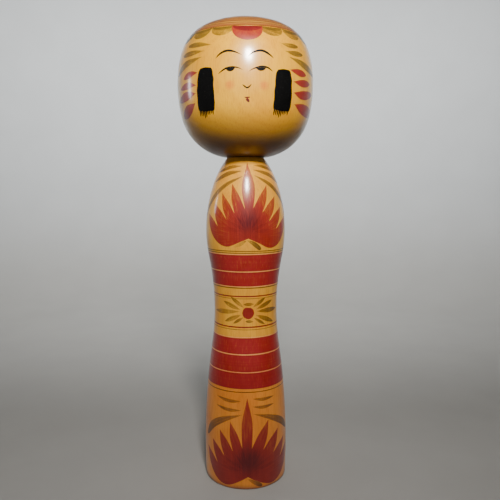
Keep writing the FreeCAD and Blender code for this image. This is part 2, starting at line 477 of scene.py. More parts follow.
BLUSH = Dye("blush_dye", (0.88, 0.54, 0.60), (0.9, 0.6, 0.6), streaks=0.3, fibres=0.2)
INK = Ink()
CAP = CapDye()

Finish = Union[Dye, Ink, CapDye]


# ---- turned shapes


class Block:
    """One turned block of the doll, its outline a smooth function of the way along it."""

    def __init__(
        self, part: Part, hollow: Callable[[float, float], bool], from_top: bool
    ) -> None:
        """Read the outline off a CAD block.

        Args:
            part: the part whose block it is.
            hollow: whether a ring of that radius and height, in mm, is out of sight.
            from_top: True if the places of paint are ways along the outline from its top end,
                False if they are heights.
        """
        self.part, self.from_top = part, from_top
        corners = np.array([v.co[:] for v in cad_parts[part.value].data.vertices]) / MM
        rings = np.c_[np.hypot(corners[:, 0], corners[:, 1]), corners[:, 2]]
        rings = np.unique(rings.round(3), axis=0)
        rings = rings[np.lexsort((-rings[:, 0], rings[:, 1]))]
        unseen = np.array([hollow(*ring) for ring in rings])
        self.hidden = [tuple(ring) for ring in rings[unseen]]
        skin = self._thinned(rings[~unseen])
        self.skin = skin[::-1] if from_top else skin
        steps = np.hypot(*np.diff(self.skin, axis=0).T)
        self.ways = np.concatenate([[0.0], np.cumsum(steps)])
        self.bends = self._bends(self.ways, self.skin)

    @staticmethod
    def _thinned(skin: np.ndarray, gap: float = 0.12) -> np.ndarray:
        """The skin's rings from low to high, without those that nearly coincide.

        Args:
            skin: rings of the outline, each its radius and height in mm.
            gap: mm, how close two rings have to be for one to go.

        Returns:
            The rings that are left.
        """
        kept = [skin[0]]
        for ring in skin[1:-1]:
            if math.dist(ring, kept[-1]) > gap:
                kept.append(ring)
        if math.dist(kept[-1], skin[-1]) <= gap:
            kept.pop()
        return np.array([*kept, skin[-1]])

    @staticmethod
    def _bends(ways: np.ndarray, values: np.ndarray) -> np.ndarray:
        """Second derivatives of a natural cubic spline through the values.

        Args:
            ways: the way along the outline at each ring, in mm.
            values: radius and height of each ring, in mm.

        Returns:
            The second derivative of both at each ring.
        """
        count, step = len(ways), np.diff(ways)
        matrix, right = np.eye(count), np.zeros((count, 2))
        for i in range(1, count - 1):
            matrix[i, i - 1: i + 2] = step[i - 1], 2 * (step[i - 1] + step[i]), step[i]
            slopes = np.diff(values[i - 1: i + 2], axis=0) / step[i - 1: i + 1, None]
            right[i] = 6 * (slopes[1] - slopes[0])
        return np.linalg.solve(matrix, right)

    def at(self, way: float) -> tuple[Vector, Vector]:
        """Point and outward normal in the half plane, as (radius, height), at that way along.

        Args:
            way: mm along the outline from its start.

        Returns:
            The point in mm, and the normal.
        """
        i = int(np.clip(np.searchsorted(self.ways, way) - 1, 0, len(self.ways) - 2))
        span = self.ways[i + 1] - self.ways[i]
        b = min(max((way - self.ways[i]) / span, 0.0), 1.0)
        a = 1.0 - b
        low, high, c_low, c_high = *self.skin[i: i + 2], *self.bends[i: i + 2]
        place = a * low + b * high + ((a**3 - a) * c_low + (b**3 - b) * c_high) * span**2 / 6
        slope = (high - low) / span + ((3 * b**2 - 1) * c_high - (3 * a**2 - 1) * c_low) * span / 6
        normal = Vector((slope[1], -slope[0])).normalized()
        return Vector(place), -normal if self.from_top else normal

    def spread(self, gap: float = 0.9) -> list[Point]:
        """The skin's outline from end to end, in points about that many mm apart."""
        count = int(self.ways[-1] / gap)
        return [tuple(self.at(self.ways[-1] * k / count)[0]) for k in range(count + 1)]

    def way(self, place: float) -> float:
        """The way along the outline of a paint place, both in mm."""
        return place if self.from_top else float(np.interp(place, self.skin[:, 1], self.ways))

    def radius(self, place: float) -> float:
        """Radius at a paint place, in mm."""
        return max(self.at(self.way(place))[0].x, 0.5)

    def spot(self, point: Point, lift: float) -> tuple[Vector, Vector]:
        """Place and normal on the block in metres, lifted off it by some mm.

        Args:
            point: turn about the axis in degrees, and paint place in mm.
            lift: mm out from the wood.

        Returns:
            The place in metres, and the normal.
        """
        place, normal = self.at(self.way(point[1]))
        turn = math.radians(point[0])
        away = Vector((math.sin(turn), -math.cos(turn), 0.0))
        up = Vector((0.0, 0.0, 1.0))
        spot = away * (place.x + normal.x * lift) + up * (place.y + normal.y * lift)
        return spot * MM, (away * normal.x + up * normal.y).normalized()


def stand(name: str, data: bpy.types.ID) -> Piece:
    """A new object in the scene, made of that mesh, light or camera.

    Args:
        name: name of the new object.
        data: the mesh, light or camera.

    Returns:
        The new object.
    """
    made = bpy.data.objects.new(name, data)
    bpy.context.scene.collection.objects.link(made)
    return made


def lathe(name: str, rings: Sequence[Point], segments: int = 256) -> Piece:
    """Turn a half outline about the axis.

    Args:
        name: name of the new object.
        rings: radius and height of each ring in mm; a radius of 0 closes an end.
        segments: how many steps go round.

    Returns:
        The new object, smooth but for its real edges.
    """
    vertices: list[Vector] = []
    loops: list[list[int]] = []
    for radius, height in rings:
        if radius < 1e-6:
            loops.append([len(vertices)] * segments)
            vertices.append(Vector((0.0, 0.0, height)) * MM)
            continue
        loops.append(list(range(len(vertices), len(vertices) + segments)))
        for k in range(segments):
            turn = math.tau * k / segments
            x, y = radius * math.sin(turn), -radius * math.cos(turn)
            vertices.append(Vector((x, y, height)) * MM)
    faces = []
    for low, high in zip(loops, loops[1:]):
        for k in range(segments):
            n = (k + 1) % segments
            corners = (low[k], low[n], high[n], high[k])
            faces.append(tuple(dict.fromkeys(corners)))
    mesh = bpy.data.meshes.new(name)
    mesh.from_pydata(vertices, [], faces)
    mesh.validate()
    mesh.shade_smooth()
    mesh.set_sharp_from_angle(angle=math.radians(28.0))
    return stand(name, mesh)


# ---- paint films


@dataclass
class Sheet:
    """A flat piece of paint before it is laid on its block."""

    points: list[Point] = field(default_factory=list)
    marks: list[Point] = field(default_factory=list)  # along and across the brush, in mm
    loads: list[float] = field(default_factory=list)  # how much paint lies at each point
    rises: list[float] = field(default_factory=list)  # mm above the lowest coat of paint
    faces: list[tuple[int, ...]] = field(default_factory=list)
    face_loads: dict[int, float] = field(default_factory=dict)  # extra load of whole faces

    def put(self, point: Point, mark: Point, load: float, rise: float = 0.0) -> int:
        """Add one point and return its number.

        Args:
            point: turn in degrees and paint place in mm.
            mark: place along and across the brush mark, in mm.
            load: how much paint lies there.
            rise: mm above the lowest coat of paint.

        Returns:
            The point's number.
        """
        self.points.append(point)
        self.marks.append(mark)
        self.loads.append(load)
        self.rises.append(rise)
        return len(self.points) - 1

    def grid(self, rows: int, columns: int, closed: bool = False) -> None:
        """Add the faces of a grid whose points were put row by row.

        Args:
            rows: how many rows of points there are.
            columns: how many points a row has.
            closed: whether each row runs back into its own beginning.
        """
        for k in range(rows - 1):
            for j in range(columns if closed else columns - 1):
                n, row = (j + 1) % columns, k * columns
                self.faces.append((row + j, row + n, row + columns + n, row + columns + j))

    def add(self, other: "Sheet", rise: float = 0.0) -> None:
        """Add another sheet's points and faces, some mm above its own height.

        Args:
            other: the sheet to take in.
            rise: mm by which it lies higher than it says.
        """
        first, face = len(self.points), len(self.faces)
        self.points += other.points
        self.marks += other.marks
        self.loads += other.loads
        self.rises += [r + rise for r in other.rises]
        self.faces += [tuple(i + first for i in corners) for corners in other.faces]
        self.face_loads.update({face + i: load for i, load in other.face_loads.items()})


class Film:
    """Lays a sheet of paint on a block as a very thin closed solid that follows the wood."""

    lift = 0.045  # mm, top of the film above the wood
    sink = 0.03  # mm, underside of the film below the wood

    def __init__(self, block: Block) -> None:
        """Take the block that the paint lies on."""
        self.block = block

    def lay(self, name: str, sheet: Sheet) -> Piece:
        """Build the film.

        Args:
            name: name of the new object.
            sheet: what to lay.

        Returns:
            The new object, shaded with the wood's own normals so that the gloss runs on across it.
        """
        count = len(sheet.points)
        tops = [self.block.spot(p, self.lift + r) for p, r in zip(sheet.points, sheet.rises)]
        lows = [self.block.spot(p, -self.sink) for p in sheet.points]
        faces = [self._outward(corners, tops) for corners in sheet.faces]
        rim = self._rim(faces)
        unders = [tuple(i + count for i in reversed(corners)) for corners in faces]
        walls = [(b, a, a + count, b + count) for a, b in rim]
        mesh = bpy.data.meshes.new(name)
        mesh.from_pydata([t[0] for t in tops] + [w[0] for w in lows], [], faces + unders + walls)
        self._dress(mesh, sheet, [t[1] for t in tops], len(faces))
        return stand(name, mesh)

    @staticmethod
    def _outward(corners: tuple[int, ...], tops: list[tuple[Vector, Vector]]) -> tuple[int, ...]:
        """The face with its corners in the order that looks out of the wood.

        Args:
            corners: numbers of its points.
            tops: place and normal of every point of the film's top.

        Returns:
            The same numbers in that order.
        """
        a, b, c = (tops[i][0] for i in corners[:3])
        out = (b - a).cross(c - a).dot(tops[corners[0]][1])
        return corners if out > 0 else tuple(reversed(corners))

    @staticmethod
    def _rim(faces: list[tuple[int, ...]]) -> list[tuple[int, int]]:
        """The directed edges that only one face has."""
        edges = {(a, b) for face in faces for a, b in zip(face, face[1:] + face[:1])}
        return [(a, b) for a, b in sorted(edges) if (b, a) not in edges]

    @staticmethod
    def _dress(mesh: bpy.types.Mesh, sheet: Sheet, normals: list[Vector], top_faces: int) -> None:
        """Store the brush marks, the load of paint and the wood's normals on the mesh.

        Args:
            mesh: the film's mesh.
            sheet: what the film was made from.
            normals: the wood's normal at each point of the sheet.
            top_faces: how many faces the top has; the underside has as many.
        """
        count = len(sheet.points)
        marks, loads, shading = [], [], []
        for face in mesh.polygons:
            under = top_faces <= face.index < 2 * top_faces
            extra = sheet.face_loads.get(face.index, 0.0) if face.index < top_faces else 0.0
            for corner in face.loop_indices:
                i = mesh.loops[corner].vertex_index % count
                marks += sheet.marks[i]
                loads.append(sheet.loads[i] + extra)
                shading.append(-normals[i] if under else normals[i])
        mesh.uv_layers.new(name="brush")
        mesh.uv_layers["brush"].data.foreach_set("uv", marks)
        mesh.attributes.new("load", "FLOAT", "CORNER")
        mesh.attributes["load"].data.foreach_set("value", loads)
        mesh.shade_smooth()
        mesh.normals_split_custom_set(shading)


def curve(points: Sequence[Point], steps: int) -> list[Vector]:
    """A smooth line through the points.

    Args:
        points: two or more points.
        steps: how many steps the whole line has.

    Returns:
        steps + 1 points, evenly spread in the line's own measure.
    """
    knots = [Vector(p) for p in points]
    before, after = 2 * knots[0] - knots[1], 2 * knots[-1] - knots[-2]
    knots = [before, *knots, after]
    line = []
    for k in range(steps + 1):
        place = k / steps * (len(knots) - 3)
        i = min(int(place), len(knots) - 4)
        t = place - i
        a, b, c, d = knots[i: i + 4]
        line.append(
            0.5 * (2 * b + (c - a) * t + (2 * a - 5 * b + 4 * c - d) * t**2
                   + (3 * b - a - 3 * c + d) * t**3)
        )
    return line


@dataclass(frozen=True)
class Stroke:
    """One mark of the brush: a line, a width, and how it swells and tapers."""

    line: tuple[Point, ...]  # (turn in degrees, place in mm) points of its middle
    width: float  # mm, at its widest
    start: float = 0.8  # how pointed its beginning is, from 0, square, to 1 or more, needle sharp
    end: float = 0.8  # the same for its end
    load: tuple[float, float] = (1.0, 1.0)  # paint at the beginning and at the end
    waver: float = 0.05  # unevenness of the edges, as a share of the width
    edge: float = 0.10  # mm over which the paint thins out at its edge
    seed: float = 0.0

    row = 0.55  # mm between the rows of points along the mark
    lane = 1.6  # mm of width that takes two more points across the mark

    def sheet(self, block: Block) -> Sheet:
        """The mark as a flat grid on that block.

        Args:
            block: the block that it lies on.

        Returns:
            The grid, a row of points across the mark at a time.
        """
        rough = curve(self.line, 24)
        flat = [Vector((math.radians(p.x) * block.radius(p.y), p.y)) for p in rough]
        length = sum((b - a).length for a, b in zip(flat, flat[1:]))
        steps = max(10, int(length / self.row))
        line = curve(self.line, steps)
        lanes = max(4, 2 * int(self.width / self.lane) + 4)
        made = Sheet()
        for k, middle in enumerate(line):
            t = k / steps
            ahead, behind = line[min(k + 1, steps)], line[max(k - 1, 0)]
            here = math.radians(ahead.x - behind.x) * block.radius(middle.y)
            way = Vector((here, ahead.y - behind.y))
            side = Vector((-way.y, way.x)).normalized()
            half = max(self._half_width(t), 0.02)
            paint = self.load[0] + (self.load[1] - self.load[0]) * t
            for j in range(lanes + 1):
                across = self._across(j, lanes, half)
                hand = noise.noise(Vector((t * length * 0.35, across, self.seed))) * self.waver
                offset = side * half * (across + hand * abs(across))
                reach = middle.y + offset.y
                turn = middle.x + math.degrees(offset.x / block.radius(reach))
                mark = (t * length, across * half + self.seed * 7.0)
                made.put((turn, reach), mark, 0.0 if j in (0, lanes) else paint)
        made.grid(steps + 1, lanes + 1)
        return made

    def _half_width(self, t: float) -> float:
        """Half the mark's width at a share t of its length, in mm."""
        peak = self.start / (self.start + self.end)
        return self.width / 2 * (t / peak) ** self.start * ((1 - t) / (1 - peak)) ** self.end

    def _across(self, j: int, lanes: int, half: float) -> float:
        """Where line j lies across the mark, from -1 to 1, with one line close to each edge.

        Args:
            j: number of the line.
            lanes: number of the last line.
            half: half the mark's width there, in mm.

        Returns:
            Its place as a share of half the width.
        """
        if j in (0, lanes):
            return -1.0 if j == 0 else 1.0
        inner = max(1.0 - self.edge / half, 0.5)
        return inner * (2 * (j - 1) / (lanes - 2) - 1)


@dataclass(frozen=True)
class Band:
    """A ring of paint laid with the doll spinning on the lathe."""

    top: float  # mm, height or way along the outline of its two edges
    bottom: float
    load: float = 1.0
    edge: float = 0.18

    pooled = 1.3  # how much more paint lies along the edges of a wide ring
    sway = 0.05  # mm, how far the brush strays three times in a turn

    def sheet(self, block: Block, segments: int = 240) -> Sheet:
        """The ring as a flat grid on that block, closed on itself.

        Args:
            block: the block that it lies on.
            segments: how many points go round.

        Returns:
            The grid, a turn of points at a time.
        """
        low, high = sorted((self.bottom, self.top))
        steps = max(1, round(high - low))
        edge = min(self.edge, (high - low) * 0.3)
        inner = [low + edge + (high - low - 2 * edge) * k / steps for k in range(steps + 1)]
        places = [low, *inner, high]
        made = Sheet()
        for k, place in enumerate(places):
            load = 0.0 if k in (0, len(places) - 1) else self.load
            if steps > 4 and k in (1, len(places) - 2):
                load *= self.pooled
            for j in range(segments):
                turn = 360.0 * j / segments
                sway = self.sway * math.sin(math.radians(3 * turn + place * 40))
                made.put((turn, place + sway), (abs(turn - 180.0) * 0.4, place), load)
        made.grid(len(places), segments, closed=True)
        return made


class Patch:
    """Paint of any outline, filled with small triangles, with extra load where marks overlap."""

    sweep = 14.0  # mm of brush mark in a radian round the middle

    def __init__(self, block: Block, middle: Point, spacing: float = 1.1) -> None:
        """Take the block, the point that marks spread from, and the triangles' size in mm.

        Args:
            block: the block that the paint lies on.
            middle: the point that the brush marks spread from.
            spacing: size of the triangles, in mm.
        """
        self.block = block
        self.middle = middle
        self.spacing = spacing
        self.scale = math.radians(block.radius(middle[1]))  # mm round the block in a degree

    def _flat(self, point: Sequence[float]) -> Vector:
        """A point of the block in flat mm about the middle."""
        return Vector(((point[0] - self.middle[0]) * self.scale, point[1] - self.middle[1]))

    def fill(
        self, outline: Sequence[Sequence[float]], overlaps: Iterable[Sequence] = (),
        load: Callable[[Vector], float] = lambda place: 1.0, extra: float = 0.5,
    ) -> Sheet:
        """Fill an outline.

        Args:
            outline: the closed outline, in (turn, place) points.
            overlaps: closed outlines inside it, where marks of the brush overlap.
            load: how much paint lies at a place, which is given in flat mm from the middle.
            extra: how much more paint lies where marks overlap.

        Returns:
            The filled sheet.
        """
        shapes = [[self._flat(p) for p in shape] for shape in (outline, *overlaps)]
        shapes = [s if self._area(s) > 0 else s[::-1] for s in shapes]
        points = [p for shape in shapes for p in shape]
        faces, first = [], 0
        for shape in shapes:
            faces.append(list(range(first, first + len(shape))))
            first += len(shape)
        low = Vector((min(p.x for p in shapes[0]), min(p.y for p in shapes[0])))
        high = Vector((max(p.x for p in shapes[0]), max(p.y for p in shapes[0])))
        rows = int((high.y - low.y) / self.spacing) + 1
        columns = int((high.x - low.x) / self.spacing) + 1
        for i in range(rows):
            for j in range(columns):
                shift = 0.5 * (i % 2)
                points.append(low + Vector((j + shift + 0.27, i + 0.31)) * self.spacing)
        result = geometry.delaunay_2d_cdt(points, [], faces, 1, 1e-5, True)
        coordinates, triangles, origins = result[0], result[2], result[5]
        made = Sheet()
        for p in coordinates:
            place = (p.x / self.scale + self.middle[0], p.y + self.middle[1])
            made.put(place, (p.length, math.atan2(p.x, p.y) * self.sweep), load(p))
        for corners, origin in zip(triangles, origins):
            if 0 not in origin:
                continue
            made.face_loads[len(made.faces)] = extra * (len(set(origin)) - 1)
            made.faces.append(tuple(corners))
        return made

    @staticmethod
    def _area(shape: list[Vector]) -> float:
        """Twice the signed area of a closed outline."""
        return sum(a.x * b.y - b.x * a.y for a, b in zip(shape, shape[1:] + shape[:1]))


# ---- the doll's parts


class Painter:
    """Lays marks on one block and dresses them in that block's finishes."""

    layer = 0.01  # mm between marks of one piece that may cross

    def __init__(self, block: Block, wood: Wood, wax: Wax) -> None:
        """Take the block and its ground.

        Args:
            block: the block to paint.
            wood: its bare wood.
            wax: the gloss over wood and paint.
        """
        self.block, self.part = block, block.part
        self.wood, self.wax = wood, wax
        self.film = Film(block)
        self.coats: dict[str, Material] = {}

    def coat(self, finish: Finish) -> Material:
        """The finish over this block's wood, made once.

        Args:
            finish: the paint.

        Returns:
            Its material on this block.
        """
        if finish.name not in self.coats:
            self.coats[finish.name] = finish.coat(self.wood, self.wax, self.part.value)
        return self.coats[finish.name]

    def lay(self, name: str, sheet: Sheet, finish: Finish) -> Piece:
        """Lay one sheet of paint and let it ride with the block.

        Args:
            name: name of the new piece.
            sheet: what to lay.
            finish: what it is painted with.

        Returns:
            The new piece.
        """
        piece = self.film.lay(name, sheet)
        piece.data.materials.append(self.coat(finish))
        return self.attach(piece)

    def strokes(
        self, name: str, marks: Sequence[Union[Stroke, Band]], finish: Finish, rise: float = 0.0
    ) -> Piece:
        """Lay several marks of the brush as one piece.

        Args:
            name: name of the piece.
            marks: the marks, of which neighbours may cross.
            finish: what they are painted with.
            rise: mm above the lowest coat of paint.

        Returns:
            The new piece.
        """
        sheet = Sheet()
        for k, mark in enumerate(marks):
            sheet.add(mark.sheet(self.block), rise + self.layer * (k % 3))
        return self.lay(name, sheet, finish)

    def brush(
        self, name: str, finish: Finish, seed: int, rows: Iterable[tuple], rise: float = 0.0,
        **shared: Any,
    ) -> Piece:
        """Lay several strokes of the brush, given as a table, as one piece.

        Args:
            name: name of the piece.
            finish: what they are painted with.
            seed: seed of the first stroke; each of the others takes the next number.
            rows: for each stroke its line and width, and then its start, end and load.
            rise: mm above the lowest coat of paint.
            shared: sizes that all the strokes share.

        Returns:
            The new piece.
        """
        marks = [Stroke(*row, seed=float(seed + k), **shared) for k, row in enumerate(rows)]
        return self.strokes(name, marks, finish, rise)

    def attach(self, piece: Piece) -> Piece:
        """Let a piece ride with the block.

        Args:
            piece: the piece.

        Returns:
            The same piece.
        """
        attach(piece, self.part.value)
        LOG.info("%s: %d faces on %s", piece.name, len(piece.data.polygons), self.part.value)
        return piece

    def ground(self, name: str, rings: Sequence[Point]) -> Piece:
        """Turn the bare wood in place of its plain CAD block.

        Args:
            name: name of the new piece.
            rings: its half outline, radius and height in mm.

        Returns:
            The new piece.
        """
        piece = lathe(name, rings)
        shader = Shader(f"{self.part.value}_bare_wood")
        piece.data.materials.append(self.wax.close(shader, self.wood.colour(shader)))
        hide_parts(self.part.value)
        return self.attach(piece)


@dataclass
class Chrysanthemum:
    """A flower seen from the side: a fan of flame-shaped petals over two lobes, and its stem."""

    tip: Point
    tips_left: tuple[Point, ...]
    tips_right: tuple[Point, ...]
    valleys_left: tuple[Point, ...]
    valleys_right: tuple[Point, ...]
    lobe_left: tuple[Point, ...]  # from the outermost left tip down to the notch
    lobe_right: tuple[Point, ...]
    notch: Point
    bulge: float = 0.055  # how far a petal's edge bows out, as a share of its length
    middle_bow: float = 1.0  # how much fuller the middle petal is than the others
    strength: float = 1.0  # of the dye
    heart_height: float = 11.0  # mm above the notch, of the point where the dye is darkest
    heart_size: Point = (9.0, 9.5)  # mm, how far the dark dye spreads to the side and up

    degrees = 2.2  # of turn in a mm round the body, about

    def outline(self) -> list[Vector]:
        """The flower's closed outline, from the notch round by the right and back.

        Returns:
            Its points, each a turn in degrees and a place in mm.
        """
        right = self._fan(self.tips_right, self.valleys_right, 1.0)
        left = self._fan(self.tips_left, self.valleys_left, -1.0)
        up = curve((self.notch, *reversed(self.lobe_right), self.tips_right[-1]), 26)[:-1]
        down = curve((self.tips_left[-1], *self.lobe_left, self.notch), 26)[1:-1]
        return [*up, *reversed(right), *left[1:], *down]

    def _fan(self, tips: Sequence[Point], valleys: Sequence[Point], side: float) -> list[Vector]:
        """One side's petal edges from the middle tip out to the last tip.

        Args:
            tips: the petals' tips, from the middle out.
            valleys: the points between them, the first beside the middle petal.
            side: 1 for the right side, -1 for the left.

        Returns:
            The points of the edges, in order.
        """
        line = [Vector(self.tip)]
        for k, (tip, valley) in enumerate(zip(tips, valleys)):
            bow = self.middle_bow if k == 0 else 1.0
            line += self._edge(line[-1], Vector(valley), side * bow)
            line += self._edge(Vector(valley), Vector(tip), side)
        return line

    def _edge(self, start: Vector, end: Vector, bow: float) -> list[Vector]:
        """One bowed petal edge, without its first point.

        Args:
            start: one end of the edge.
            end: the other end.
            bow: 1 to bow to the left of the way, -1 to the right; more bows further.

        Returns:
            The points that follow the first.
        """
        chord = end - start
        out = Vector((-chord.y * self.degrees, chord.x / self.degrees)) * bow
        middle = (start + end) / 2 + out * self.bulge
        return curve((start, middle, end), 8)[1:]

    def overlaps(self) -> list[list[Vector]]:
        """Slivers where neighbouring petals were painted over each other.

        Returns:
            The closed outline of each sliver.
        """
        root = Vector(self.notch) + Vector((0.0, 4.0))
        made = []
        for k, valley in enumerate((*self.valleys_left, *self.valleys_right)):
            start = Vector(valley) + (root - Vector(valley)) * 0.03
            end = root + (start - root) * 0.2
            made.append(self._leaf(start, end, 3.0 + (k % 4) * 0.8))
        return made

    def load(self, place: Vector) -> float:
        """Paint at a place given in flat mm from the notch: most where all the petals meet.

        Args:
            place: the place.

        Returns:
            How much dye lies there.
        """
        across, up = self.heart_size
        heart = math.exp(-((place.x / across) ** 2) - ((place.y - self.heart_height) / up) ** 2)
        height = min(max(place.y / (self.tip[1] - self.notch[1]), 0.0), 1.0)
        return self.strength * (0.82 + heart + 0.3 * (1.0 - height) ** 2)

    @staticmethod
    def _leaf(start: Vector, end: Vector, width: float) -> list[Vector]:
        """A narrow leaf from start to end; width is in degrees of turn.

        Args:
            start: one end.
            end: the other end.
            width: degrees of turn across its middle.

        Returns:
            Its closed outline.
        """
        way = end - start
        side = Vector((-way.y, way.x)).normalized()
        side = Vector((side.x * width, side.y * width * 0.45))
        shares = np.linspace(0.0, 1.0, 12)
        swell = [math.sin(math.pi * t**1.4) * 0.5 for t in shares]
        one = [start + way * t + side * h for t, h in zip(shares, swell)]
        other = [start + way * t - side * h for t, h in zip(shares[1:-1], swell[1:-1])]
        return one + other[::-1]

    def lay(self, painter: Painter, name: str) -> Piece:
        """Paint the flower.

        Args:
            painter: what lays the paint on this block.
            name: name of the new piece.

        Returns:
            The new piece.
        """
        patch = Patch(painter.block, self.notch)
        sheet = patch.fill(self.outline(), self.overlaps(), self.load, 0.18)
        return painter.lay(name, sheet, RED)


@dataclass
class TurnedBody:
    """The waisted standing body with its neck tenon, its bands and its flowers."""

    # the foot is darkened with painted shade where it stands on the floor
    wood: Wood = Wood(deep_from=112.0, deep_to=58.0, shade_from=4.0, shade_to=-3.0)
    wax: Wax = Wax(rough=0.40, coat=0.8, coat_rough=0.18)
    red_bands: tuple[Point, ...] = ((153.9, 143.25), (142.65, 133.45), (99.8, 89.55), (88.9, 78.2),
                                    (77.6, 67.3))
    pale_lines: tuple[Point, ...] = ((154.45, 153.95), (143.2, 142.7), (133.4, 132.95),
                                     (100.35, 99.85), (89.5, 88.95), (78.15, 77.65))
    red_lines: tuple[Point, ...] = ((127.3, 126.45), (107.3, 106.4))
    olive_lines: tuple[Point, ...] = ((156.55, 155.9), (155.3, 154.7), (132.75, 132.05),
                                      (125.6, 125.2), (105.4, 105.0), (65.6, 65.0))

    tenon_within: float = 8.5  # mm, a radius that takes in the tenon but not the skin
    tenon_above: float = 200.0  # mm, a height below the neck seat
    hollow_within: float = 21.5  # mm, a radius that takes in the hollow under the foot
    hollow_below: float = 0.9  # mm, a height above that hollow
    foot_top: float = 2.0  # mm, a height between the hollow and the tenon

    def build(self) -> None:
        """Turn the wood and paint it from the top down."""
        block = Block(Part.BODY, self._out_of_sight, from_top=False)
        painter = Painter(block, self.wood, self.wax)
        painter.ground("turned_body", self._rings(block))
        self._bands(painter)
        self._upper_flower(painter)
        self._waist_flower(painter)
        self._lower_flower(painter)

    def _out_of_sight(self, radius: float, height: float) -> bool:
        """Whether a ring is on the neck tenon or in the hollow under the foot."""
        return (radius < self.tenon_within and height > self.tenon_above) or (
            radius < self.hollow_within and height < self.hollow_below)

    def _rings(self, block: Block) -> list[Point]:
        """The full half outline: hollow under the foot, skin, neck seat and tenon.

        Args:
            block: the block with its outline.

        Returns:
            Radius and height of each ring in mm, from the foot up.
        """
        hollow = [ring for ring in block.hidden if ring[1] < self.foot_top][::-1]
        tenon = [ring for ring in block.hidden if ring[1] > self.foot_top]
        start = [] if hollow[0][0] < 1e-6 else [(0.0, hollow[0][1])]
        return [*start, *hollow, *block.spread(), *tenon, (0.0, tenon[-1][1])]

    def _bands(self, painter: Painter) -> None:
        """The bands and lines that the lathe drew.

        Args:
            painter: what lays the paint on this block.
        """
        for k, (top, bottom) in enumerate(self.red_bands, start=1):
            painter.lay(f"red_band_{k}", Band(top, bottom).sheet(painter.block), BAND_RED)
        red = [Band(top, bottom, 1.7, 0.12) for top, bottom in self.red_lines]
        painter.strokes("red_lines", red, BAND_RED)
        olive = [Band(top, bottom, 1.7, 0.1) for top, bottom in self.olive_lines]
        painter.strokes("olive_lines", olive, BROWN)
        pale = [Band(top, bottom, 1.0, 0.06) for top, bottom in self.pale_lines]
        painter.strokes("pale_lines", pale, BARE)

    def _upper_flower(self, painter: Painter) -> None:
        """The flower on the chest, with the leaves above it and its stem.

        Args:
            painter: what lays the paint on this block.
        """
        Chrysanthemum(
            tip=(2.3, 211.6),
            tips_left=((-24.8, 198.2), (-41.1, 192.3), (-54.7, 186.2), (-67.5, 179.2)),
            tips_right=((35.9, 197.3), (49.8, 190.4), (60.5, 183.6), (75.0, 177.6)),
            valleys_left=((-2.6, 182.6), (-17.4, 179.8), (-29.1, 175.9), (-43.5, 171.4)),
            valleys_right=((9.6, 183.2), (22.8, 180.2), (32.4, 174.5), (45.0, 169.4)),
            lobe_left=((-63.5, 172.0), (-55.0, 165.6), (-43.2, 160.9), (-28.3, 159.0),
                       (-12.0, 161.6)),
            lobe_right=((70.5, 171.0), (61.5, 164.4), (49.0, 159.4), (33.5, 158.0), (16.5, 161.4)),
            notch=(2.0, 164.3), middle_bow=2.2, strength=0.95,
        ).lay(painter, "upper_chrysanthemum")
        painter.brush("upper_leaves", BROWN, 1, (
            (((-72.0, 205.4), (-38.0, 208.3), (-6.0, 209.4)), 2.4, 0.6, 1.0, (1.7, 0.8)),
            (((-72.0, 199.2), (-40.0, 204.2), (-8.0, 206.2)), 3.1, 0.7, 1.0, (1.6, 0.9)),
            (((-84.0, 176.0), (-64.0, 188.0), (-38.0, 197.2), (-6.0, 203.0)),
             3.5, 0.6, 0.9, (1.3, 1.0)),
            (((76.0, 206.2), (46.0, 208.6), (15.0, 209.8)), 2.3, 0.6, 1.0, (1.8, 0.8)),
            (((84.0, 197.8), (50.0, 203.8), (13.0, 207.0)), 2.9, 0.7, 1.0, (1.7, 0.9)),
            (((90.0, 176.5), (73.0, 187.4), (46.0, 197.2), (14.0, 203.6)),
             3.6, 0.6, 0.9, (1.8, 1.0)),
        ))
        painter.brush("upper_stem", BROWN, 7, (
            (((0.0, 163.3), (9.0, 161.3), (20.5, 157.2)), 2.8, 0.9, 0.35, (0.6, 1.9)),
            (((-0.5, 163.0), (-9.0, 160.9), (-19.0, 158.8)), 2.5, 0.9, 0.9, (0.85, 0.25)),
        ), rise=0.03)

    def _waist_flower(self, painter: Painter) -> None:
        """The small flower between the bands: a red centre and a ring of olive petals.

        Args:
            painter: what lays the paint on this block.
        """
        centre = Stroke(((-7.7, 116.0), (13.5, 116.0)), 7.6, 0.5, 0.5, (1.25, 1.25), waver=0.14)
        painter.strokes("waist_flower_centre", (centre,), RED, rise=0.03)
        ends = (
            ((-70.0, 115.6), (-12.0, 117.0), 3.2), ((-44.0, 123.0), (-11.0, 118.2), 2.9),
            ((-28.5, 126.4), (-5.0, 119.6), 2.5), ((-5.5, 121.6), (13.5, 121.8), 2.2),
            ((35.0, 125.6), (11.5, 119.8), 2.5), ((52.0, 123.2), (17.0, 118.4), 2.9),
            ((68.0, 116.8), (18.0, 117.0), 3.3), ((56.0, 108.6), (16.0, 114.6), 3.1),
            ((34.5, 107.9), (12.5, 112.9), 2.0), ((-2.0, 110.6), (12.0, 110.4), 2.0),
            ((-24.0, 109.0), (-5.5, 113.3), 2.0), ((-41.0, 109.8), (-10.0, 114.9), 3.0),
        )
        petals = [((outer, inner), width, 0.9, 1.0, (1.45 + outer[0] / 150.0, 0.7))
                  for outer, inner, width in ends]
        painter.brush("waist_flower_petals", BROWN, 10, petals)

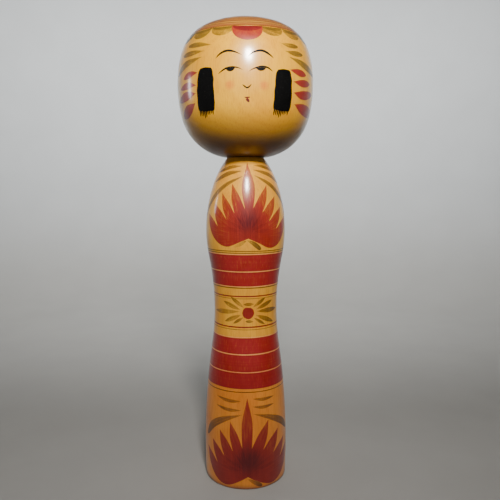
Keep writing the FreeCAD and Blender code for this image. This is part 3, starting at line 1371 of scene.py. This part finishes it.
    def _lower_flower(self, painter: Painter) -> None:
        """The flower above the foot, with the leaves above it and its stem.

        Args:
            painter: what lays the paint on this block.
        """
        Chrysanthemum(
            tip=(0.5, 61.5),
            tips_left=((-23.6, 45.5), (-39.8, 38.9), (-53.8, 31.0), (-66.0, 24.0)),
            tips_right=((31.0, 45.9), (48.6, 38.1), (63.9, 30.2), (77.0, 24.4)),
            valleys_left=((-6.4, 28.3), (-19.2, 25.9), (-31.8, 21.6), (-43.4, 15.6)),
            valleys_right=((6.4, 28.2), (22.7, 26.4), (39.0, 22.5), (52.6, 17.4)),
            lobe_left=((-61.5, 15.2), (-53.0, 8.2), (-41.0, 3.6), (-27.0, 2.4), (-12.0, 5.4)),
            lobe_right=((72.0, 15.0), (61.5, 7.6), (48.0, 3.2), (33.0, 2.2), (15.5, 5.2)),
            notch=(1.3, 9.0), middle_bow=1.0, strength=1.08,
        ).lay(painter, "lower_chrysanthemum")
        painter.brush("lower_leaves", BROWN, 21, (
            (((-47.5, 60.9), (-27.0, 59.3), (-8.5, 59.5)), 2.3, 1.1, 1.0, (1.25, 0.7)),
            (((-48.5, 54.9), (-28.0, 53.4), (-8.0, 53.6)), 2.3, 1.1, 1.0, (1.2, 0.7)),
            (((-68.0, 31.5), (-54.0, 40.4), (-32.0, 46.8), (-5.5, 51.0)),
             5.0, 0.6, 1.1, (1.6, 0.8)),
            (((43.0, 60.6), (24.0, 60.1), (8.0, 61.0)), 2.2, 1.0, 1.0, (1.3, 0.7)),
            (((42.0, 55.6), (24.0, 55.0), (8.0, 55.9)), 2.2, 1.0, 1.0, (1.25, 0.7)),
            (((77.0, 33.5), (58.0, 41.6), (34.0, 47.4), (8.5, 51.2)), 4.7, 0.6, 1.1, (1.8, 0.8)),
        ))
        painter.brush("lower_stem", BROWN, 27, (
            (((0.0, 7.8), (10.0, 5.2), (21.5, 1.9)), 3.0, 0.9, 0.4, (0.5, 1.7)),
        ), rise=0.03)


@dataclass
class TurnedHead:
    """The turned head with its cap, hair and face."""

    # the head's underside is darkened with painted shade, most by its seat on the neck
    wood: Wood = Wood((0.91, 0.445, 0.004), (0.84, 0.375, 0.003), pith=(-7.0, 11.0),
                      shade_from=247.0, shade_to=222.0)
    wax: Wax = Wax(0.37, 1.0, 0.18, specular=0.45, coat_ior=1.6, thin_from=238.0, thin_to=222.0)
    rim: float = 39.6  # mm from the crown to the cap's rim
    cap_lines: tuple[float, ...] = (7.0, 11.5, 15.0, 19.5, 22.5, 26.5, 29.0, 31.5, 34.0, 36.4,
                                    39.1)
    scallops: int = 16
    bristles: int = 9
    lock_width: float = 12.5
    cheek_radius: float = 43.0
    bore_within: float = 8.5  # mm, a radius that takes in the bore but not the skin
    bore_below: float = 250.0  # mm, a height above the bore

    def build(self) -> None:
        """Turn the wood, then paint the cap, the hair and the face."""
        block = Block(Part.HEAD, self._out_of_sight, from_top=True)
        painter = Painter(block, self.wood, self.wax)
        painter.ground("turned_head", self._rings(block))
        self._cap(painter)
        self._hair(painter)
        self._face(painter)

    def _out_of_sight(self, radius: float, height: float) -> bool:
        """Whether a ring is in the bore that takes the neck tenon."""
        return radius < self.bore_within and height < self.bore_below

    def _rings(self, block: Block) -> list[Point]:
        """The full half outline: skin from crown to seat, then the bore.

        Args:
            block: the block with its outline.

        Returns:
            Radius and height of each ring in mm, from the bore to the crown.
        """
        skin = block.spread()
        skin[0] = (0.0, skin[0][1])
        bore = [ring for ring in block.hidden if ring[0] > 1e-6]
        return [*skin, *bore, (0.0, bore[-1][1])][::-1]

    def _cap(self, painter: Painter) -> None:
        """The flat cap: a ringed crown, a rim line, and a ring of scallops below it.

        Args:
            painter: what lays the paint on this block.
        """
        crown = Band(0.9, self.rim, edge=0.25).sheet(painter.block)
        painter.lay("cap_crown", crown, CAP)
        lines = [Band(at - 0.34, at + 0.3 + 0.16 * (k % 3), 1.0 + 0.4 * (k % 2), 0.12)
                 for k, at in enumerate(self.cap_lines)]
        painter.strokes("cap_lines", lines, MAROON, rise=0.02)
        step = 360.0 / self.scallops
        olive, dusk, red = [], [], []
        for k in range(self.scallops):
            turn = step * k
            distance = min(k, self.scallops - k)
            if distance in (0, self.scallops // 2):
                red.append(self._scallop(turn, step * 0.615, 10.4))
            elif distance in (3, 4, 5):
                dusk.append(self._scallop(turn, step * 0.49, 6.4))
            else:
                olive.append(self._scallop(turn, step * 0.49, 6.8))
        patch = Patch(painter.block, (0.0, self.rim), spacing=1.2)
        pieces = (("cap_discs", red, CRIMSON, 0.05), ("cap_scallops_olive", olive, OLIVE, 0.02),
                  ("cap_scallops_dusk", dusk, DUSK, 0.02))
        for name, shapes, finish, rise in pieces:
            sheet = Sheet()
            for outer, shade in shapes:
                sheet.add(patch.fill(outer, [shade], extra=0.7), rise)
            painter.lay(name, sheet, finish)

    def _scallop(self, turn: float, half: float, drop: float) -> tuple[list[Vector], list[Vector]]:
        """A scallop's outline hanging from the rim, and the darker part along the rim.

        Args:
            turn: degrees round to its middle.
            half: half its width in degrees.
            drop: mm that it hangs down.

        Returns:
            The two closed outlines.
        """
        angles = np.linspace(0.0, math.pi, 22)
        hang = [Vector((turn + half * math.cos(a), self.rim + drop * math.sin(a) ** 0.8))
                for a in angles]
        shade = [Vector((turn + half * 0.97 * math.cos(a),
                         self.rim + 0.05 + drop * 0.42 * math.sin(a))) for a in angles]
        return hang, shade

    def _hair(self, painter: Painter) -> None:
        """The black side locks, the red ribbons behind them and the strands on the temples.

        Args:
            painter: what lays the paint on this block.
        """
        self._lock(painter, "lock_right", ((-34.0, 64.6), (-34.3, 70.6), (-34.9, 77.2),
                                           (-35.3, 83.5), (-35.8, 89.6)))
        self._lock(painter, "lock_left", ((29.0, 65.7), (29.3, 70.6), (29.4, 77.3),
                                          (29.4, 83.5), (28.9, 89.5)))
        painter.brush("ribbons_right", CRIMSON, 31, (
            (((-41.7, 66.8), (-50.4, 67.2), (-61.0, 69.0)), 3.9),
            (((-43.3, 74.1), (-53.1, 73.4), (-67.5, 74.4)), 4.1),
            (((-44.3, 78.6), (-55.7, 79.1), (-74.2, 81.4)), 5.4),
            (((-46.3, 84.0), (-56.3, 87.4), (-71.1, 91.5)), 6.8),
        ), start=1.3, load=(1.0, 1.3))
        painter.brush("ribbons_left", CRIMSON, 35, (
            (((34.8, 65.5), (44.3, 66.2), (55.5, 66.8)), 4.2),
            (((38.6, 72.0), (49.2, 72.1), (63.0, 71.2)), 4.5),
            (((39.3, 78.2), (50.8, 78.9), (70.8, 76.9)), 5.4),
            (((41.3, 84.7), (55.4, 87.0), (83.5, 89.2)), 6.8),
        ), start=1.3, load=(1.0, 1.4))
        painter.brush("strands_right", OLIVE, 41, (
            (((-27.9, 52.1), (-40.9, 50.6), (-58.4, 49.5)), 3.2, 1.5, 0.6, (0.65, 1.5)),
            (((-34.8, 54.9), (-47.1, 54.8), (-64.6, 54.9)), 3.4, 1.5, 0.6, (0.65, 1.5)),
            (((-36.6, 58.2), (-47.4, 59.4), (-59.6, 61.1), (-75.0, 65.6)),
             4.4, 1.4, 0.6, (0.65, 1.7)),
        ))
        painter.brush("strands_left", OLIVE, 44, (
            (((27.3, 50.4), (35.9, 51.2), (47.7, 50.7)), 3.0, 1.4, 0.7, (0.65, 1.6)),
            (((30.6, 54.9), (40.0, 55.5), (52.5, 55.1)), 3.3, 1.4, 0.7, (0.75, 1.7)),
            (((33.8, 58.0), (44.1, 59.7), (57.0, 61.9), (75.4, 65.0)), 4.4, 1.3, 0.6, (0.85, 1.8)),
        ))

    def _lock(self, painter: Painter, name: str, line: tuple[Point, ...]) -> None:
        """One thick lock of black hair, with the brush's bristle marks at its foot.

        Args:
            painter: what lays the paint on this block.
            name: name of the new piece.
            line: points of its middle, from the top down.
        """
        foot, before, wet = Vector(line[-1]), Vector(line[-2]), (4.0, 4.0)
        lean = (foot.x - before.x) / (foot.y - before.y)
        degrees = math.degrees(self.lock_width / painter.block.radius(foot.y))
        sheet = Sheet()
        for k in range(self.bristles):
            share = (k + 0.5) / self.bristles - 0.5
            reach = 2.4 + 3.4 * noise.noise(Vector((k * 2.7, self.lock_width, 3.0)))
            start = (foot.x + share * degrees * 0.82 - lean * 5.0, foot.y - 5.0)
            end = (foot.x + share * degrees * 0.86 + lean * reach, foot.y + reach)
            hair = Stroke((start, end), 1.2, 0.12, 0.45, wet, edge=0.02, seed=60.0 + k)
            sheet.add(hair.sheet(painter.block), painter.layer * (k % 2))
        lock = Stroke(line, self.lock_width, 0.17, 0.08, wet, waver=0.06, edge=0.04,
                      seed=50.0 + self.lock_width)
        sheet.add(lock.sheet(painter.block), 0.03)
        painter.lay(name, sheet, INK)

    def _face(self, painter: Painter) -> None:
        """Brows, eyes, nose, mouth and the blush on the cheeks.

        Args:
            painter: what lays the paint on this block.
        """
        fine = {"waver": 0.04, "edge": 0.07}
        painter.brush("eyebrows", INK, 71, (
            (((-25.3, 60.4), (-21.9, 57.9), (-17.8, 56.5), (-13.8, 56.3), (-9.1, 57.3),
              (-4.1, 59.1)), 1.35, 0.8, 1.0, (1.6, 1.3)),
            (((0.4, 59.7), (3.9, 57.5), (8.6, 56.3), (12.4, 56.4), (16.7, 58.0), (20.5, 60.2)),
             1.4, 1.0, 0.8, (1.2, 1.6)),
        ), **fine)
        painter.brush("eyes", INK, 73, (
            (((-22.8, 69.2), (-19.5, 67.4), (-15.5, 66.0), (-10.9, 65.7), (-7.0, 66.2),
              (-3.6, 67.4)), 1.05, 0.7, 1.0, (1.6, 1.2)),
            (((0.4, 68.4), (3.8, 66.8), (8.4, 65.6), (11.9, 65.3), (15.9, 65.9), (19.5, 67.8)),
             1.1, 1.0, 0.7, (1.1, 1.6)),
            (((-16.7, 66.2), (-13.2, 66.9), (-9.7, 66.3)), 2.4, 0.6, 0.7, (1.5, 1.6)),
            (((6.1, 66.0), (9.9, 66.6), (14.0, 65.7)), 2.4, 0.7, 0.6, (1.6, 1.5)),
        ), **fine)
        painter.brush("nose", INK, 79, (
            (((-4.1, 75.3), (-2.4, 76.4), (-0.5, 77.2), (1.3, 76.5), (2.8, 75.2)),
             0.9, 0.6, 0.6, (1.6, 1.6)),
        ), **fine)
        painter.brush("mouth", CRIMSON, 80, (
            (((-2.6, 82.4), (-0.5, 82.6), (1.9, 82.4)), 0.9, 0.6, 0.5, (2.0, 2.2)),
            (((-1.3, 83.3), (0.0, 84.0), (1.2, 85.2)), 1.7, 0.6, 0.6, (2.2, 2.0)),
        ), **fine)
        for name, turn, place in (("blush_right", -13.6, 75.5), ("blush_left", 12.8, 75.8)):
            painter.lay(name, self._blush(turn, place, 4.8), BLUSH)

    def _blush(self, turn: float, place: float, radius: float) -> Sheet:
        """A soft round spot of colour that fades to nothing at its edge.

        Args:
            turn: degrees round to its middle.
            place: mm from the crown to its middle.
            radius: its radius in mm.

        Returns:
            The sheet to lay.
        """
        made = Sheet()
        rings, spokes = 7, 30
        degrees = math.degrees(1.0 / self.cheek_radius)
        for i in range(1, rings + 1):
            for j in range(spokes):
                a = math.tau * j / spokes
                x, y = math.cos(a) * radius * i / rings, math.sin(a) * radius * i / rings
                load = 0.5 + 0.5 * math.cos(math.pi * i / rings)
                made.put((turn + x * degrees, place + y), (x, y), load)
        made.grid(rings, spokes, closed=True)
        middle = made.put((turn, place), (0.0, 0.0), 1.0)
        made.faces += [(middle, j, (j + 1) % spokes) for j in range(spokes)]
        return made


# ---- studio


@dataclass(frozen=True)
class Lamp:
    """One rectangular soft light that looks at a point above the floor's middle."""

    name: str
    azimuth: float  # degrees round the doll; 0 is in front
    elevation: float  # degrees above the level of the point it looks at
    distance: float  # mm from that point
    size: Point  # width and height in mm
    power: float  # watts
    colour: Colour = (1.0, 1.0, 1.0)
    target: tuple[float, float, float] = (0.0, 0.0, 240.0)
    spread: float = 180.0  # degrees

    def build(self) -> None:
        """Add the light."""
        data = bpy.data.lights.new(self.name, "AREA")
        data.shape = "RECTANGLE"
        data.size, data.size_y = self.size[0] * MM, self.size[1] * MM
        data.energy, data.color = self.power, self.colour
        data.spread = math.radians(self.spread)
        lamp = stand(self.name, data)
        a, e = math.radians(self.azimuth), math.radians(self.elevation)
        away = Vector((math.sin(a) * math.cos(e), -math.cos(a) * math.cos(e), math.sin(e)))
        lamp.location = (Vector(self.target) + away * self.distance) * MM
        lamp.rotation_euler = away.to_track_quat("Z", "Y").to_euler()
        lamp.visible_camera = False


@dataclass
class Studio:
    """A plain pale floor that runs up into a pale wall all round, soft lights, and the camera."""

    distance: float = 371.4  # mm in front of the axis
    height: float = 197.4
    tilt: float = 6.63  # degrees downwards
    azimuth: float = -1.8
    aside: float = 0.46  # degrees, to set the doll a little left of the middle
    lens: float = 40.3
    sensor: float = 36.0
    floor_radius: float = 560.0
    cove: float = 200.0  # mm, radius of the curve from the floor to the wall
    cove_steps: int = 14
    wall_height: float = 1000.0
    air: float = 0.1  # strength of the even light from all round
    air_colour: Colour = (0.93, 0.96, 1.0)
    lamps: tuple[Lamp, ...] = (
        Lamp("key_lamp", 3.6, 30.5, 350.0, (42.0, 70.0), 1.14, (1.0, 0.97, 0.93), spread=130.0),
        Lamp("side_strip", -104.0, 6.5, 680.0, (34.0, 120.0), 0.34, (0.93, 0.96, 1.0)),
        Lamp("wall_wash", 0.0, 35.0, 620.0, (700.0, 160.0), 4.3, (0.97, 0.99, 1.0),
             target=(0.0, 760.0, 230.0), spread=140.0),
        Lamp("near_wall_wash", 180.0, 35.0, 620.0, (700.0, 160.0), 0.9, (0.97, 0.99, 1.0),
             target=(0.0, -760.0, 230.0), spread=140.0),
    )

    def build(self) -> None:
        """Set everything up."""
        self._paper()
        self._camera()
        for lamp in self.lamps:
            lamp.build()
        world = bpy.data.worlds.new("studio_air")
        world.use_nodes = True
        sockets = world.node_tree.nodes["Background"].inputs
        sockets["Color"].default_value = (*self.air_colour, 1.0)
        sockets["Strength"].default_value = self.air
        bpy.context.scene.world = world

    def _paper(self) -> None:
        """The floor and wall, turned in one piece."""
        rings: list[Point] = [(0.0, 0.0), (self.floor_radius, 0.0)]
        for k in range(1, self.cove_steps + 1):
            a = math.radians(90.0 * k / self.cove_steps)
            out, up = self.cove * math.sin(a), self.cove * (1 - math.cos(a))
            rings.append((self.floor_radius + out, up))
        rings.append((self.floor_radius + self.cove, self.wall_height))
        paper = lathe("studio_paper", rings, segments=128)
        paper.data.materials.append(Backdrop().coat())

    def _camera(self) -> None:
        """The camera, at a hand's height in front of the doll."""
        data = bpy.data.cameras.new("camera")
        data.lens, data.sensor_width = self.lens, self.sensor
        data.clip_start = 0.01
        camera = stand("camera", data)
        turn = math.radians(self.azimuth)
        camera.location = Vector((math.sin(turn) * self.distance, -math.cos(turn) * self.distance,
                                  self.height)) * MM
        camera.rotation_euler = (math.radians(90.0 - self.tilt), 0.0,
                                 turn - math.radians(self.aside))
        bpy.context.scene.camera = camera


def main() -> None:
    """Build the doll and the studio."""
    logging.basicConfig(level=logging.INFO, format="%(message)s")
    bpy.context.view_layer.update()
    TurnedBody().build()
    TurnedHead().build()
    Studio().build()


if __name__ == "__main__":
    main()
